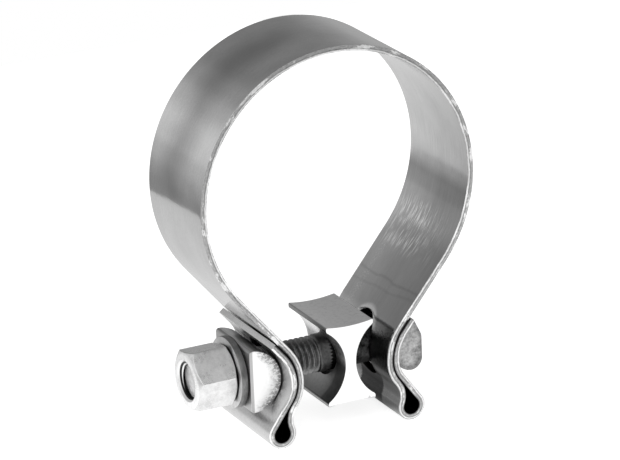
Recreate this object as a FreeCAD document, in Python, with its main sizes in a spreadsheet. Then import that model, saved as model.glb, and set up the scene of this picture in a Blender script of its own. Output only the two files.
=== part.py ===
import FreeCAD, Part
import Sketcher
import os
from math import atan2, cos, hypot, radians, sin, sqrt

# Exhaust band clamp. X runs along the bolt, Y along the pipe, Z up.
# The origin is the centre of the ring's bore, halfway across the band.
# Lengths are millimetres. A drop is a distance below the bore's centre.
SIZES = [
    ("bore_radius", 36.5, "ring, inside"),
    ("sheet_thickness", 1.6, "band strip"),
    ("band_width", 31.0, "band strip, along the pipe"),
    ("ear_gap", 23.76, "between the two ears at their nearest"),
    ("ear_drop", 48.4, "height of that nearest point"),
    ("ear_upper_radius", 15.0, "ear face above it"),
    ("ear_lower_radius", 10.5, "ear face below it"),
    ("neck_radius", 5.2, "hollow of the ear face above the loop"),
    ("loop_bore", 4.38, "inside of the folded loop"),
    ("loop_drop", 61.5, "centre of the loop"),
    ("loop_spread", 36.88, "between the two loop centres"),
    ("ply_gap", 0.25, "between the two plies of an ear"),
    ("right_lap", 3.3, "straight end of the right outer ply, up the leg"),
    ("left_lap", 4.1, "straight end of the left outer ply, up the leg"),
    ("slot_width", 10.6, "bolt slot in the ears"),
    ("slot_top_drop", 39.6, "upper end of the slot"),
    ("slot_bottom_drop", 56.5, "lower end of the slot"),
    ("bolt_drop", 48.1, "bolt axis"),
    ("bolt_length", 51.6, "head crest to threaded end"),
    ("shank_radius", 5.0, "plain shank"),
    ("thread_radius", 4.9, "threaded stretch"),
    ("thread_length", 34.8, "threaded stretch, from the end"),
    ("bolt_chamfer", 0.6, "at the threaded end"),
    ("head_radius", 7.1, "round seat of the head"),
    ("head_length", 20.4, "head, along the pipe"),
    ("head_rise", 0.9, "head centre above the bolt axis"),
    ("head_depth", 8.95, "head, crest to flat back"),
    ("head_flat", 9.2, "height of the flat back before it is rounded"),
    ("head_top_angle", 93.0, "degrees, where the seat ends above"),
    ("head_bottom_angle", 106.0, "degrees, where the seat ends below"),
    ("head_round", 3.2, "long edges at the back of the head"),
    ("head_seat_round", 0.5, "long edges where the seat ends"),
    ("head_end_round", 0.6, "edges of the head's two ends"),
    ("head_gap", 0.2, "between head and ear"),
    ("half_round_radius", 8.4, "half-round spacer"),
    ("half_round_depth", 8.57, "crest to flat"),
    ("half_round_length", 20.0, "along the pipe"),
    ("half_round_hole", 5.3, "hole radius"),
    ("half_round_corner", 0.8, "long edges beside the flat"),
    ("half_round_edge", 0.6, "end edges"),
    ("half_round_gap", 0.3, "between spacer and ear"),
    ("washer_radius", 9.4, "washer, outside"),
    ("washer_hole", 5.25, "hole radius"),
    ("washer_thickness", 2.1, "washer"),
    ("washer_edge", 0.25, "edge chamfer"),
    ("face_gap", 0.05, "between the flat faces on the bolt"),
    ("nut_across_flats", 15.05, "nut"),
    ("nut_height", 11.15, "nut"),
    ("nut_face_radius", 7.0, "flat ring on the nut's ends"),
    ("nut_chamfer", 1.0, "axial length of the corner chamfer"),
    ("nut_mouth_radius", 5.5, "countersunk mouth of the bore"),
    ("nut_clearance", 0.05, "nut bore over the thread radius"),
    ("nut_turn", 10.9, "degrees, first corner from the pipe direction"),
    ("block_offset", 3.8, "spacer block centre, toward the head"),
    ("block_drop", 48.25, "spacer block centre"),
    ("block_width", 13.5, "along the bolt"),
    ("block_height", 21.9, "up and down"),
    ("block_depth", 21.8, "along the pipe"),
    ("block_waist", 3.0, "least thickness along the bolt"),
    ("flank_radius", 11.5, "hollow flanks"),
    ("block_top_dip", 0.6, "hollow of the top face"),
    ("block_foot_arch", 0.6, "hollow of the bottom face"),
    ("block_round", 0.45, "lip edges"),
    ("block_hole", 5.5, "hole radius"),
    ("hang_gap", 0.05, "block hole's top over the shank"),
]

doc = FreeCAD.newDocument("exhaust_clamp")
sheet = doc.addObject("Spreadsheet::Sheet", "Sizes")
for row, (alias, value, note) in enumerate(SIZES, start=1):
    sheet.set("A%d" % row, alias)
    sheet.set("B%d" % row, str(value))
    sheet.setAlias("B%d" % row, alias)
    sheet.set("C%d" % row, note)
doc.recompute()


def size(alias):
    return float(sheet.get(alias))


def new_body(name):
    body = doc.addObject("PartDesign::Body", name)
    body.Label = name
    return body


def new_sketch(body, plane, name):
    sketch = body.newObject("Sketcher::SketchObject", name)
    for feature in body.Origin.OriginFeatures:
        if feature.Role == plane:
            sketch.AttachmentSupport = [(feature, "")]
    sketch.MapMode = "FlatFace"
    return sketch


def flat(point):
    return FreeCAD.Vector(point[0], point[1], 0)


def add_line(sketch, start, end):
    return sketch.addGeometry(Part.LineSegment(flat(start), flat(end)), False)


def add_arc(sketch, centre, radius, start_angle, end_angle):
    circle = Part.Circle(flat(centre), FreeCAD.Vector(0, 0, 1), radius)
    return sketch.addGeometry(Part.ArcOfCircle(circle, start_angle, end_angle), False)


def add_circle(sketch, centre, alias):
    """A circle whose radius follows one cell of the sheet."""
    circle = Part.Circle(flat(centre), FreeCAD.Vector(0, 0, 1), size(alias))
    index = sketch.addGeometry(circle, False)
    sketch.addConstraint(Sketcher.Constraint("DistanceX", index, 3, centre[0]))
    sketch.addConstraint(Sketcher.Constraint("DistanceY", index, 3, centre[1]))
    sketch.addConstraint(Sketcher.Constraint("Radius", index, size(alias)))
    name = "%s_%d" % (alias, index)
    sketch.renameConstraint(sketch.ConstraintCount - 1, name)
    sketch.setExpression("Constraints." + name, "Sizes." + alias)


def add_polygon(sketch, points):
    for place, point in enumerate(points):
        add_line(sketch, point, points[(place + 1) % len(points)])


def pad_both_ways(body, sketch, name, length):
    pad = body.newObject("PartDesign::Pad", name)
    pad.Profile = sketch
    pad.Midplane = True
    pad.setExpression("Length", length)
    return pad


def pad_along_bolt(body, sketch, name, length):
    pad = body.newObject("PartDesign::Pad", name)
    pad.Profile = sketch
    pad.Reversed = True
    pad.setExpression("Length", length)
    return pad


def cut_through(body, sketch, name):
    before = body.Shape.Volume
    pocket = body.newObject("PartDesign::Pocket", name)
    pocket.Profile = sketch
    pocket.Type = "ThroughAll"
    pocket.Midplane = True
    doc.recompute()
    if body.Shape.Volume >= before:
        raise RuntimeError(name + " cuts nothing")
    return pocket


def round_edges(body, name, radius, wanted):
    doc.recompute()
    base = body.Tip
    edges = []
    for place, edge in enumerate(base.Shape.Edges, start=1):
        if wanted(edge):
            edges.append("Edge%d" % place)
    if not edges:
        raise RuntimeError(name + " finds no edge")
    fillet = body.newObject("PartDesign::Fillet", name)
    fillet.Base = (base, edges)
    fillet.setExpression("Radius", radius)
    return fillet


def along_pipe(edge):
    direction = edge.tangentAt(edge.FirstParameter)
    return abs(direction.y) > abs(direction.x) + abs(direction.z)


def is_round(edge):
    return hasattr(edge.Curve, "Radius")


# Plane geometry on (x, z) pairs


def plus(point, direction, distance):
    return (point[0] + direction[0] * distance, point[1] + direction[1] * distance)


def toward(start, end):
    length = hypot(end[0] - start[0], end[1] - start[1])
    return ((end[0] - start[0]) / length, (end[1] - start[1]) / length)


def turned(direction, angle):
    return (
        direction[0] * cos(angle) - direction[1] * sin(angle),
        direction[0] * sin(angle) + direction[1] * cos(angle),
    )


def crossed_tangent(centre_a, radius_a, centre_b, radius_b, side):
    """Touch points of the line that runs between two circles."""
    axis = toward(centre_a, centre_b)
    spacing = hypot(centre_b[0] - centre_a[0], centre_b[1] - centre_a[1])
    along = (radius_a + radius_b) / spacing
    across = side * sqrt(1 - along * along)
    normal = (axis[0] * along - axis[1] * across, axis[1] * along + axis[0] * across)
    return plus(centre_a, normal, radius_a), plus(centre_b, normal, -radius_b)


def meeting_point(centre_a, radius_a, centre_b, radius_b, side):
    """One crossing of two circles."""
    axis = toward(centre_a, centre_b)
    spacing = hypot(centre_b[0] - centre_a[0], centre_b[1] - centre_a[1])
    along = (spacing ** 2 + radius_a ** 2 - radius_b ** 2) / (2 * spacing)
    across = side * sqrt(radius_a ** 2 - along ** 2)
    return (
        centre_a[0] + axis[0] * along - axis[1] * across,
        centre_a[1] + axis[1] * along + axis[0] * across,
    )


# The strip's middle line is a chain of runs. A run is a line (start, end, None, 0)
# or an arc (start, end, centre, turn), with turn 1 anticlockwise and -1 clockwise.


def mirrored(run):
    start, end, centre, turn = run
    flipped = None if centre is None else (-centre[0], centre[1])
    return ((-end[0], end[1]), (-start[0], start[1]), flipped, turn)


def draw_side(sketch, runs, offset):
    """Draws the chain moved to its left by offset and returns its two ends."""
    ends = []
    for start, end, centre, turn in runs:
        if centre is None:
            left = turned(toward(start, end), radians(90))
            first = plus(start, left, offset)
            last = plus(end, left, offset)
            add_line(sketch, first, last)
        else:
            radius = hypot(start[0] - centre[0], start[1] - centre[1]) - turn * offset
            first = plus(centre, toward(centre, start), radius)
            last = plus(centre, toward(centre, end), radius)
            first_angle = atan2(first[1] - centre[1], first[0] - centre[0])
            last_angle = atan2(last[1] - centre[1], last[0] - centre[0])
            if turn < 0:
                first_angle, last_angle = last_angle, first_angle
            add_arc(sketch, centre, radius, first_angle, last_angle)
        ends.extend([first, last])
    return ends[0], ends[-1]


half_sheet = size("sheet_thickness") / 2
ply_step = size("sheet_thickness") + size("ply_gap")
ring_middle = size("bore_radius") + half_sheet
ear_face = size("ear_gap") / 2
ear_level = -size("ear_drop")
upper_centre = (ear_face + size("ear_upper_radius"), ear_level)
lower_centre = (ear_face + size("ear_lower_radius"), ear_level)
upper_middle = size("ear_upper_radius") - half_sheet
lower_middle = size("ear_lower_radius") - half_sheet
neck_middle = size("neck_radius") + half_sheet
loop_centre = (size("loop_spread") / 2, -size("loop_drop"))
loop_middle = size("loop_bore") / 2 + half_sheet

ring_touch, ear_touch = crossed_tangent((0, 0), ring_middle, upper_centre, upper_middle, 1)
neck_centre = meeting_point(
    lower_centre, lower_middle + neck_middle, loop_centre, loop_middle + neck_middle, -1
)
lower_end = plus(lower_centre, toward(lower_centre, neck_centre), lower_middle)
neck_end = plus(loop_centre, toward(loop_centre, neck_centre), loop_middle)
loop_end, outer_start = crossed_tangent(
    loop_centre, loop_middle, lower_centre, lower_middle - ply_step, -1
)
outer_end = plus(upper_centre, toward(upper_centre, ear_touch), upper_middle - ply_step)
leg_up = toward(ear_touch, ring_touch)


def ear_runs(lap_end):
    """Right half of the middle line, from the ring's right root to the folded end."""
    inner_crest = (lower_centre[0] - lower_middle, ear_level)
    outer_crest = (inner_crest[0] + ply_step, ear_level)
    return [
        (ring_touch, ear_touch, None, 0),
        (ear_touch, inner_crest, upper_centre, 1),
        (inner_crest, lower_end, lower_centre, 1),
        (lower_end, neck_end, neck_centre, -1),
        (neck_end, loop_end, loop_centre, 1),
        (loop_end, outer_start, None, 0),
        (outer_start, outer_crest, lower_centre, -1),
        (outer_crest, outer_end, upper_centre, -1),
        (outer_end, lap_end, None, 0),
    ]


def make_band():
    body = new_body("band")
    sketch = new_sketch(body, "XZ_Plane", "band_edge_view")
    right_end = plus(outer_end, leg_up, size("right_lap"))
    left_end = plus(outer_end, leg_up, size("left_lap"))
    left_half = [mirrored(run) for run in ear_runs(left_end)]
    left_half.reverse()
    ring = [((-ring_touch[0], ring_touch[1]), ring_touch, (0, 0), -1)]
    runs = left_half + ring + ear_runs(right_end)
    left_outer, right_outer = draw_side(sketch, runs, half_sheet)
    left_inner, right_inner = draw_side(sketch, runs, -half_sheet)
    add_line(sketch, left_outer, left_inner)
    add_line(sketch, right_outer, right_inner)
    pad_both_ways(body, sketch, "band_strip", "Sizes.band_width")
    doc.recompute()

    slot = new_sketch(body, "YZ_Plane", "slot_outline")
    slot_half = size("slot_width") / 2
    top = -size("slot_top_drop") - slot_half
    bottom = -size("slot_bottom_drop") + slot_half
    add_arc(slot, (0, top), slot_half, 0, radians(180))
    add_arc(slot, (0, bottom), slot_half, radians(180), radians(360))
    add_line(slot, (slot_half, top), (slot_half, bottom))
    add_line(slot, (-slot_half, top), (-slot_half, bottom))
    cut_through(body, slot, "bolt_slots")
    return body


def make_bolt():
    """Local origin on the bolt axis, at the crest of the head."""
    body = new_body("bolt")
    head_level = size("bolt_drop") - size("head_rise")
    seat_radius = size("ear_upper_radius") - 2 * size("sheet_thickness") - size("ply_gap")
    reach = seat_radius - size("head_radius") - size("head_gap")
    rise = size("ear_drop") - head_level
    centre_x = upper_centre[0] - sqrt(reach ** 2 - rise ** 2)
    crest = centre_x - size("head_radius")

    section = new_sketch(body, "XZ_Plane", "head_section")
    centre = (size("head_radius"), size("head_rise"))
    top_angle = radians(size("head_top_angle"))
    bottom_angle = radians(360 - size("head_bottom_angle"))
    top = plus(centre, (cos(top_angle), sin(top_angle)), size("head_radius"))
    bottom = plus(centre, (cos(bottom_angle), sin(bottom_angle)), size("head_radius"))
    flat_bottom = (size("head_depth"), bottom[1])
    flat_top = (size("head_depth"), bottom[1] + size("head_flat"))
    add_arc(section, centre, size("head_radius"), top_angle, bottom_angle)
    add_line(section, top, flat_top)
    add_line(section, flat_top, flat_bottom)
    add_line(section, flat_bottom, bottom)
    pad_both_ways(body, section, "head_forging", "Sizes.head_length")

    def at_back(edge):
        return along_pipe(edge) and edge.Vertexes[0].X > size("head_depth") - 0.001

    def at_seat(edge):
        return along_pipe(edge) and not at_back(edge)

    under_run = flat_bottom[0] - bottom[0]
    back_round = "Sizes.head_round"
    if size("head_round") > 0.9 * under_run:
        back_round = "%f" % (0.9 * under_run)
    round_edges(body, "head_seat_edges", "Sizes.head_seat_round", at_seat)
    round_edges(body, "head_back_edges", back_round, at_back)
    round_edges(body, "head_end_edges", "Sizes.head_end_round", lambda edge: not along_pipe(edge))
    doc.recompute()

    profile = new_sketch(body, "XZ_Plane", "shank_profile")
    end = -size("bolt_length")
    thread_start = end + size("thread_length")
    inside_head = size("head_depth") / 2
    step = size("shank_radius") - size("thread_radius")
    chamfer = size("bolt_chamfer")
    add_polygon(profile, [
        (inside_head, 0),
        (inside_head, size("shank_radius")),
        (thread_start + step, size("shank_radius")),
        (thread_start, size("thread_radius")),
        (end + chamfer, size("thread_radius")),
        (end, size("thread_radius") - chamfer),
        (end, 0),
    ])
    shank = body.newObject("PartDesign::Revolution", "shank")
    shank.Profile = profile
    shank.ReferenceAxis = (profile, ["H_Axis"])
    shank.Angle = 360
    body.Placement.Base = FreeCAD.Vector(crest, 0, 0)
    body.setExpression(".Placement.Base.z", "-Sizes.bolt_drop")
    return body


def ear_back():
    """How far from the middle the hollow back of an ear stands."""
    return ear_face + 2 * size("sheet_thickness") + size("ply_gap")


def make_half_round_spacer():
    """Local origin on the bolt axis, at the crest of the round side."""
    body = new_body("half_round_spacer")
    sketch = new_sketch(body, "XZ_Plane", "half_round_section")
    radius = size("half_round_radius")
    past_centre = size("half_round_depth") - radius
    half_angle = atan2(sqrt(radius ** 2 - past_centre ** 2), -past_centre)
    add_arc(sketch, (-radius, 0), radius, -half_angle, half_angle)
    corner = sqrt(radius ** 2 - past_centre ** 2)
    add_line(sketch, (-size("half_round_depth"), corner), (-size("half_round_depth"), -corner))
    pad_both_ways(body, sketch, "half_round_bar", "Sizes.half_round_length")
    round_edges(body, "long_edges", "Sizes.half_round_corner", along_pipe)
    round_edges(body, "end_edges", "Sizes.half_round_edge", lambda edge: not along_pipe(edge))
    doc.recompute()
    hole = new_sketch(body, "YZ_Plane", "half_round_hole")
    add_circle(hole, (0, 0), "half_round_hole")
    cut_through(body, hole, "half_round_bore")
    body.Placement.Base = FreeCAD.Vector(-ear_back() - size("half_round_gap"), 0, 0)
    body.setExpression(".Placement.Base.z", "-Sizes.bolt_drop")
    return body


def make_washer(seat):
    """Local origin on the bolt axis, at the face toward the ear."""
    body = new_body("washer")
    sketch = new_sketch(body, "YZ_Plane", "washer_ring")
    add_circle(sketch, (0, 0), "washer_radius")
    add_circle(sketch, (0, 0), "washer_hole")
    pad_along_bolt(body, sketch, "washer_plate", "Sizes.washer_thickness")
    doc.recompute()
    plate = body.Tip
    middle_radius = (size("washer_hole") + size("washer_radius")) / 2
    edges = []
    for place, edge in enumerate(plate.Shape.Edges, start=1):
        if is_round(edge) and edge.Curve.Radius > middle_radius:
            edges.append("Edge%d" % place)
    chamfer = body.newObject("PartDesign::Chamfer", "washer_edges")
    chamfer.Base = (plate, edges)
    chamfer.setExpression("Size", "Sizes.washer_edge")
    body.Placement.Base = FreeCAD.Vector(seat - size("face_gap"), 0, 0)
    body.setExpression(".Placement.Base.z", "-Sizes.bolt_drop")
    return body


def make_nut(seat):
    """Local origin on the bolt axis, at the face toward the washer."""
    body = new_body("nut")
    sketch = new_sketch(body, "YZ_Plane", "hexagon")
    corner_radius = size("nut_across_flats") / 2 / cos(radians(30))
    corners = []
    for side in range(6):
        angle = radians(180 - size("nut_turn") + 60 * side)
        corners.append((corner_radius * cos(angle), corner_radius * sin(angle)))
    add_polygon(sketch, corners)
    pad_along_bolt(body, sketch, "hexagon_bar", "Sizes.nut_height")
    doc.recompute()

    before = body.Shape.Volume
    corner_cut = new_sketch(body, "XZ_Plane", "corner_chamfers")
    beyond = 2 * corner_radius - size("nut_face_radius")
    deep = 2 * size("nut_chamfer")
    height = size("nut_height")
    for face, inward in ((0, -1), (-height, 1)):
        add_polygon(corner_cut, [
            (face, size("nut_face_radius")),
            (face + inward * deep, beyond),
            (face, beyond),
        ])
    groove = body.newObject("PartDesign::Groove", "corner_chamfer_cut")
    groove.Profile = corner_cut
    groove.ReferenceAxis = (corner_cut, ["H_Axis"])
    groove.Angle = 360
    doc.recompute()
    if body.Shape.Volume >= before:
        raise RuntimeError("the nut's corners aren't cut")

    before = body.Shape.Volume
    bore_profile = new_sketch(body, "XZ_Plane", "bore_profile")
    bore = size("thread_radius") + size("nut_clearance")
    mouth = size("nut_mouth_radius")
    add_polygon(bore_profile, [
        (0, 0),
        (0, mouth),
        (bore - mouth, bore),
        (mouth - bore - height, bore),
        (-height, mouth),
        (-height, 0),
    ])
    bore_cut = body.newObject("PartDesign::Groove", "threaded_bore")
    bore_cut.Profile = bore_profile
    bore_cut.ReferenceAxis = (bore_profile, ["H_Axis"])
    bore_cut.Angle = 360
    doc.recompute()
    if body.Shape.Volume >= before:
        raise RuntimeError("the nut has no bore")
    body.Placement.Base = FreeCAD.Vector(seat - size("face_gap"), 0, 0)
    body.setExpression(".Placement.Base.z", "-Sizes.bolt_drop")
    return body


def make_spacer_block():
    """Local origin at the block's middle. It hangs on the shank between the ears."""
    body = new_body("spacer_block")
    sketch = new_sketch(body, "XZ_Plane", "block_section")
    half_width = size("block_width") / 2
    half_height = size("block_height") / 2
    for side in (-1, 1):
        add_line(sketch, (side * half_width, -half_height), (side * half_width, half_height))
    for end, hollow in ((1, size("block_top_dip")), (-1, size("block_foot_arch"))):
        radius = (half_width ** 2 + hollow ** 2) / (2 * hollow)
        centre = (0, end * (half_height - hollow + radius))
        half_angle = atan2(half_width, radius - hollow)
        middle = radians(-90 * end)
        add_arc(sketch, centre, radius, middle - half_angle, middle + half_angle)
    pad_both_ways(body, sketch, "block_bar", "Sizes.block_depth")
    doc.recompute()

    flanks = new_sketch(body, "XZ_Plane", "hollow_flanks")
    flank_x = size("block_waist") / 2 + size("flank_radius")
    add_circle(flanks, (-flank_x, 0), "flank_radius")
    add_circle(flanks, (flank_x, 0), "flank_radius")
    cut_through(body, flanks, "flank_cuts")
    flank_reach = sqrt(size("flank_radius") ** 2 - (flank_x - half_width) ** 2)
    lip_land = half_height - flank_reach
    lip_round = "Sizes.block_round"
    if 0 < lip_land < 2 * size("block_round"):
        lip_round = "%f / 3" % lip_land
    round_edges(body, "lip_edges", lip_round, along_pipe)
    doc.recompute()

    hole = new_sketch(body, "YZ_Plane", "block_hole")
    drop = size("bolt_drop") + size("block_hole") - size("shank_radius") - size("hang_gap")
    add_circle(hole, (0, size("block_drop") - drop), "block_hole")
    cut_through(body, hole, "block_bore")
    body.setExpression(".Placement.Base.x", "Sizes.block_offset")
    body.setExpression(".Placement.Base.z", "-Sizes.block_drop")
    return body


band = make_band()
bolt = make_bolt()
half_round = make_half_round_spacer()
washer_seat = -ear_back() - size("half_round_gap") - size("half_round_depth")
washer = make_washer(washer_seat)
nut_seat = washer_seat - size("face_gap") - size("washer_thickness")
nut = make_nut(nut_seat)
block = make_spacer_block()
doc.recompute()

pieces = [band, bolt, half_round, washer, nut, block]
for item in doc.Objects:
    if "Invalid" in item.State or "Error" in item.State:
        raise RuntimeError(item.Name + " did not compute")
for piece in pieces:
    shape = piece.Shape
    if shape.isNull() or not shape.isValid() or len(shape.Solids) != 1:
        raise RuntimeError(piece.Label + " is not one sound solid")

os.makedirs("parts", exist_ok=True)
for piece in pieces:
    piece.Shape.exportStep("parts/" + piece.Label + ".step")
    box = piece.Shape.BoundBox
    print("%-18s volume %8.1f  x %7.2f %7.2f  y %7.2f %7.2f  z %7.2f %7.2f" % (
        piece.Label, piece.Shape.Volume, box.XMin, box.XMax, box.YMin, box.YMax, box.ZMin, box.ZMax))
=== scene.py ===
from contextlib import contextmanager
from math import acos, atan2, ceil, cos, hypot, pi, radians, sin, sqrt, tan
import bmesh
import bpy
from mathutils import Matrix, Vector


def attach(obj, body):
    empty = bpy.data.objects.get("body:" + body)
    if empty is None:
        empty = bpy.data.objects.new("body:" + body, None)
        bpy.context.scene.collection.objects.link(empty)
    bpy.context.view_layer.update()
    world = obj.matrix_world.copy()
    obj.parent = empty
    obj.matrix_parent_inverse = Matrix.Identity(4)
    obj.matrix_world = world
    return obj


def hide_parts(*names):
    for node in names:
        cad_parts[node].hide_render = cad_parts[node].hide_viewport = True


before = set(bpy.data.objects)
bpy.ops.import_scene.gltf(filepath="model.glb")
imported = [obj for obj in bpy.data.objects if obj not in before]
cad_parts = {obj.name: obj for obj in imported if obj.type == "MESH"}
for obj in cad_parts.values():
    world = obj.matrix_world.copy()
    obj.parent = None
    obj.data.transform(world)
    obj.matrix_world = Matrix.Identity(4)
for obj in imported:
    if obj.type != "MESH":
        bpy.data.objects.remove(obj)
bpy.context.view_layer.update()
mm = 0.001  # sizes below are millimetres, Blender's are metres


# mesh helpers

def meshPiece(name, points, faces, materials, faceMaterials=None):
    mesh = bpy.data.meshes.new(name)
    mesh.from_pydata([(x * mm, y * mm, z * mm) for x, y, z in points], [], faces)
    piece = bpy.data.objects.new(name, mesh)
    bpy.context.scene.collection.objects.link(piece)
    for material in materials:
        mesh.materials.append(material)
    if faceMaterials:
        mesh.polygons.foreach_set("material_index", faceMaterials)
    mesh.validate()
    return piece


@contextmanager
def openMesh(piece):
    mesh = bmesh.new()
    mesh.from_mesh(piece.data)
    yield mesh
    mesh.to_mesh(piece.data)
    mesh.free()


def smoothByAngle(piece, degrees):
    piece.data.shade_smooth()
    piece.data.set_sharp_from_angle(angle=radians(degrees))


def applyModifiers(piece):
    graph = bpy.context.evaluated_depsgraph_get()
    mesh = bpy.data.meshes.new_from_object(piece.evaluated_get(graph))
    piece.modifiers.clear()
    piece.data = mesh


def bevelEdges(piece, width, degrees):
    modifier = piece.modifiers.new("edges", "BEVEL")
    modifier.width = width * mm
    modifier.segments = 2
    modifier.limit_method = "ANGLE"
    modifier.angle_limit = radians(degrees)
    modifier.use_clamp_overlap = True
    applyModifiers(piece)


# large flat faces keep their own direction beside rounded edges
def finishNormals(piece, degrees):
    smoothByAngle(piece, degrees)
    modifier = piece.modifiers.new("flats", "WEIGHTED_NORMAL")
    modifier.keep_sharp = True
    modifier.weight = 100
    applyModifiers(piece)


# welds the seams, drops what collapsed at the ends and closes flat ends
def tidyMesh(piece, closeHoles=True):
    with openMesh(piece) as mesh:
        bmesh.ops.remove_doubles(mesh, verts=mesh.verts, dist=0.004 * mm)
        bmesh.ops.dissolve_degenerate(mesh, edges=mesh.edges, dist=0.002 * mm)
        if closeHoles:
            bmesh.ops.holes_fill(mesh, edges=[edge for edge in mesh.edges if edge.is_boundary])
        bmesh.ops.recalc_face_normals(mesh, faces=mesh.faces)


# rounds the edges that a test picks
def roundEdges(piece, width, segments, picked):
    with openMesh(piece) as mesh:
        bmesh.ops.remove_doubles(mesh, verts=mesh.verts, dist=0.001 * mm)
        bmesh.ops.recalc_face_normals(mesh, faces=mesh.faces)
        edges = [edge for edge in mesh.edges if picked(edge)]
        bmesh.ops.bevel(mesh, geom=edges, offset=width * mm, segments=segments, profile=0.5,
                        affect="EDGES", clamp_overlap=True)


# rounds the rim of both flat ends of a prism
def roundEnds(piece, half, width, segments):
    def onRim(edge):
        return all(abs(abs(corner.co.y) - half * mm) < 1e-6 for corner in edge.verts)

    roundEdges(piece, width, segments, onRim)


# faces between rings of points, each with as many points
def ringFaces(rings, around):
    faces = []
    for row in range(rings - 1):
        for step in range(around):
            beside = (step + 1) % around
            low, high = row * around, (row + 1) * around
            faces.append((low + step, low + beside, high + beside, high + step))
    return faces


# a point at an angle round the bolt's direction
def roundPoint(x, centre, radius, angle):
    return (x, centre[0] + radius * cos(angle), centre[1] + radius * sin(angle))


# rings of points round the bolt's direction from (x, radius) pairs
def turnedProfile(profile, centre, segments):
    points = [roundPoint(x, centre, radius, 2 * pi * step / segments)
              for x, radius in profile for step in range(segments)]
    return points, ringFaces(len(profile), segments)


# several (points, faces) pairs as one
def joined(*parts):
    points, faces = [], []
    for partPoints, partFaces in parts:
        faces.extend(tuple(index + len(points) for index in face) for face in partFaces)
        points.extend(partPoints)
    return points, faces


# a section in (x, z) drawn out along the pipe
def prism(outline, near, far):
    count = len(outline)
    points = [(x, near, z) for x, z in outline] + [(x, far, z) for x, z in outline]
    faces = [tuple(range(count)), tuple(range(2 * count - 1, count - 1, -1))]
    for index in range(count):
        beside = (index + 1) % count
        faces.append((index, index + count, beside + count, beside))
    return points, faces


# cuts a round hole along the bolt's direction
def boreThrough(piece, startX, endX, radius, centre):
    segments = 72
    points, faces = turnedProfile([(startX, radius), (endX, radius)], centre, segments)
    faces += [tuple(range(segments - 1, -1, -1)), tuple(range(segments, 2 * segments))]
    cutter = meshPiece("cutter", points, faces, [])
    tidyMesh(cutter, closeHoles=False)
    modifier = piece.modifiers.new("cut", "BOOLEAN")
    modifier.operation = "DIFFERENCE"
    modifier.solver = "EXACT"
    modifier.object = cutter
    bpy.context.view_layer.update()
    applyModifiers(piece)
    bpy.data.objects.remove(cutter)


# helpers for outlines in (x, z)

def plus(point, direction, distance):
    return (point[0] + direction[0] * distance, point[1] + direction[1] * distance)


def spacing(start, end):
    return hypot(end[0] - start[0], end[1] - start[1])


def toward(start, end):
    length = spacing(start, end)
    return ((end[0] - start[0]) / length, (end[1] - start[1]) / length)


def bearing(centre, point):
    return atan2(point[1] - centre[1], point[0] - centre[0])


def arcPoints(centre, radius, startAngle, endAngle, steps):
    return [(centre[0] + radius * cos(startAngle + (endAngle - startAngle) * step / steps),
             centre[1] + radius * sin(startAngle + (endAngle - startAngle) * step / steps))
            for step in range(steps + 1)]


# the arc that rounds a left-turning corner between two straight sides
def cornerArc(before, corner, after, radius, steps):
    back, ahead = toward(corner, before), toward(corner, after)
    halfAngle = acos(back[0] * ahead[0] + back[1] * ahead[1]) / 2
    inward = toward((0, 0), (back[0] + ahead[0], back[1] + ahead[1]))
    centre = plus(corner, inward, radius / sin(halfAngle))
    fromCorner = radius / tan(halfAngle)
    startAngle = bearing(centre, plus(corner, back, fromCorner))
    endAngle = bearing(centre, plus(corner, ahead, fromCorner))
    return arcPoints(centre, radius, startAngle, startAngle + (endAngle - startAngle) % (2 * pi), steps)


# material helpers

def newMaterial(name):
    material = bpy.data.materials.new(name)
    material.use_nodes = True
    tree = material.node_tree
    shader = tree.nodes["Principled BSDF"]
    shader.inputs["Metallic"].default_value = 1.0
    return material, tree, shader


# inputs are given by name, or as i0, i1 and so on by their place
def addNode(tree, kind, settings=None, **inputs):
    node = tree.nodes.new("ShaderNode" + kind)
    for key, value in (settings or {}).items():
        setattr(node, key, value)
    setInputs(node, inputs)
    return node


def setInputs(node, inputs):
    for key, value in inputs.items():
        socket = node.inputs[int(key[1:]) if key[1:].isdigit() else key]
        if isinstance(value, Number):
            value = value.socket
        if isinstance(value, bpy.types.NodeSocket):
            node.id_data.links.new(value, socket)
        else:
            socket.default_value = value


def calc(tree, operation, a, b=0.0):
    return Number(tree, addNode(tree, "Math", {"operation": operation}, i0=a, i1=b).outputs[0])


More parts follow.
